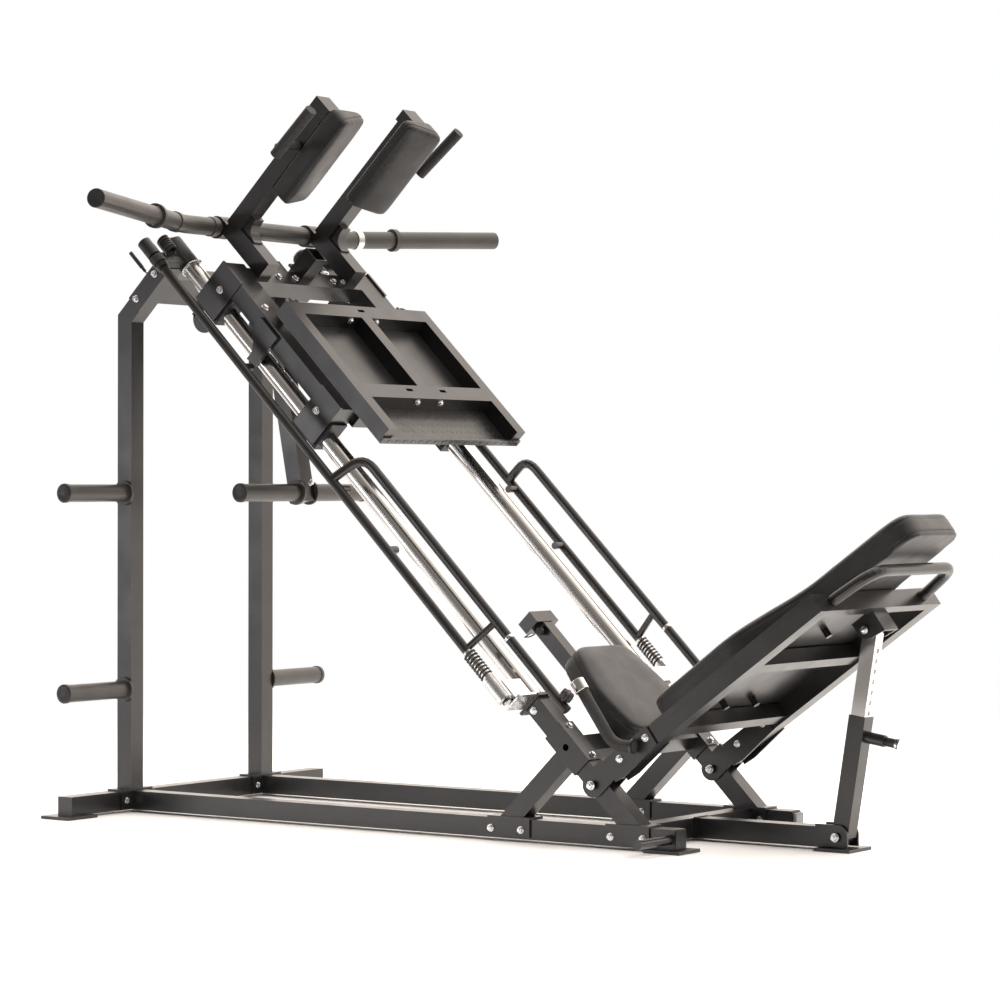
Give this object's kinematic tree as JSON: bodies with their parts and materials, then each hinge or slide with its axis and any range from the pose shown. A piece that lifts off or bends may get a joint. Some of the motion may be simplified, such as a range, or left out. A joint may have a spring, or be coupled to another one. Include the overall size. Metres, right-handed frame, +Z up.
{
  "type": "leg press and hack squat machine",
  "caption": "Floor-standing 45 degree leg press and hack squat machine: loaded sled on two guide rods, folding foot plate, shoulder pads, seat and adjustable bench.",
  "frame": {"origin": "middle of the machine's box, on the floor", "axes": "+X from the uprights to the bench, +Y across to the machine's left side, +Z up"},
  "size_m": [2.384, 1.7786, 1.9361],
  "materials": {
    "black_vinyl": "soft grained vinyl",
    "black_grip": "matt grip",
    "powder_coat": "satin textured powder coat",
    "black_nylon": "moulded",
    "polished_chrome": "polished",
    "black_steel": "black oxide",
    "zinc_plate": "bright zinc plated"
  },
  "bodies": {
    "machine_frame": {"band_peg": "black_grip", "base_rail_left": "powder_coat", "base_rail_right": "powder_coat", "brace_left": "powder_coat", "brace_right": "powder_coat", "centre_beam": "powder_coat", "front_cross_member": "powder_coat", "front_leg_left": "powder_coat", "front_leg_right": "powder_coat", "guide_rod_left": "polished_chrome", "guide_rod_right": "polished_chrome", "leg_cross_member": "powder_coat", "rear_base_beam": "powder_coat", "rod_lower_bracket_left": "zinc_plate", "rod_lower_bracket_right": "zinc_plate", "rod_top_clamp_left": "black_steel", "rod_top_clamp_right": "black_steel", "seat_pad": "black_vinyl", "seat_post": "powder_coat", "storage_peg_lower_left": "powder_coat", "storage_peg_lower_right": "powder_coat", "storage_peg_upper_left": "powder_coat", "storage_peg_upper_right": "powder_coat", "top_cross_member": "powder_coat", "upright_left": "powder_coat", "upright_right": "powder_coat"},
    "sled": {"bush_lower_left": "black_nylon", "bush_lower_right": "black_nylon", "bush_upper_left": "black_nylon", "bush_upper_right": "black_nylon", "horn_collar_left": "powder_coat", "horn_collar_right": "powder_coat", "load_bar": "powder_coat", "shoulder_arm_left": "powder_coat", "shoulder_arm_right": "powder_coat", "shoulder_handle_left": "black_grip", "shoulder_handle_right": "black_grip", "shoulder_pad_left": "black_vinyl", "shoulder_pad_right": "black_vinyl", "sled_frame": "powder_coat", "weight_arm": "powder_coat", "weight_peg_left": "powder_coat", "weight_peg_right": "powder_coat"},
    "foot_plate": {"foot_plate_frame": "powder_coat", "tread_plate": "powder_coat"},
    "lock_bar_right": {"lock_bar_right": "powder_coat", "lock_spring_right": "black_steel"},
    "lock_bar_left": {"lock_bar_left": "powder_coat", "lock_spring_left": "black_steel"},
    "bench": {"back_pad": "black_vinyl", "bench_frame": "powder_coat", "bench_plate": "powder_coat", "seat_handle_left": "black_grip", "seat_handle_right": "black_grip", "u_handle": "black_grip"},
    "strut_outer": {"strut_outer": "powder_coat"},
    "strut_inner": {"strut_inner": "zinc_plate"},
    "pop_pin": {"pop_pin": "polished_chrome"}
  },
  "joints": [
    {"name": "sled_slide", "type": "slide", "parent": "machine_frame", "child": "sled", "axis": [0.7071, 0, -0.7071], "range_m": [-0.06, 0.8]},
    {"name": "foot_plate_hinge", "type": "hinge", "parent": "sled", "child": "foot_plate", "pos_m": [-0.60743, 0, 1.37744], "axis": [0, -1, 0], "range_deg": [0, 90]},
    {"name": "lock_bar_right_turn", "type": "hinge", "parent": "machine_frame", "child": "lock_bar_right", "pos_m": [-0.29064, -0.405, 0.85136], "axis": [0.7071, 0, -0.7071], "range_deg": [0, 35]},
    {"name": "lock_bar_left_turn", "type": "hinge", "parent": "machine_frame", "child": "lock_bar_left", "pos_m": [-0.29064, 0.405, 0.85136], "axis": [0.7071, 0, -0.7071], "range_deg": [-35, 0]},
    {"name": "bench_tilt", "type": "hinge", "parent": "machine_frame", "child": "bench", "pos_m": [0.399, 0, 0.1556], "axis": [0, -1, 0], "range_deg": [-8, 5]},
    {"name": "strut_swing", "type": "hinge", "parent": "machine_frame", "child": "strut_outer", "pos_m": [0.927, 0, 0.034], "axis": [0, -1, 0], "range_deg": [-7.64, 4.78]},
    {"name": "strut_telescope", "type": "slide", "parent": "strut_outer", "child": "strut_inner", "axis": [0.1575, 0, 0.9875], "range_m": [-0.0751, 0.0469]},
    {"name": "pop_pin_pull", "type": "slide", "parent": "strut_outer", "child": "pop_pin", "axis": [0.9875, 0, -0.1575], "range_m": [0, 0.012], "stiffness_N_per_m": 400}
  ],
  "couplings": [
    {"joint": "strut_swing", "follows": "bench_tilt", "ratio": 0.955},
    {"joint": "strut_telescope", "follows": "bench_tilt", "m_per_rad": 0.538}
  ]
}
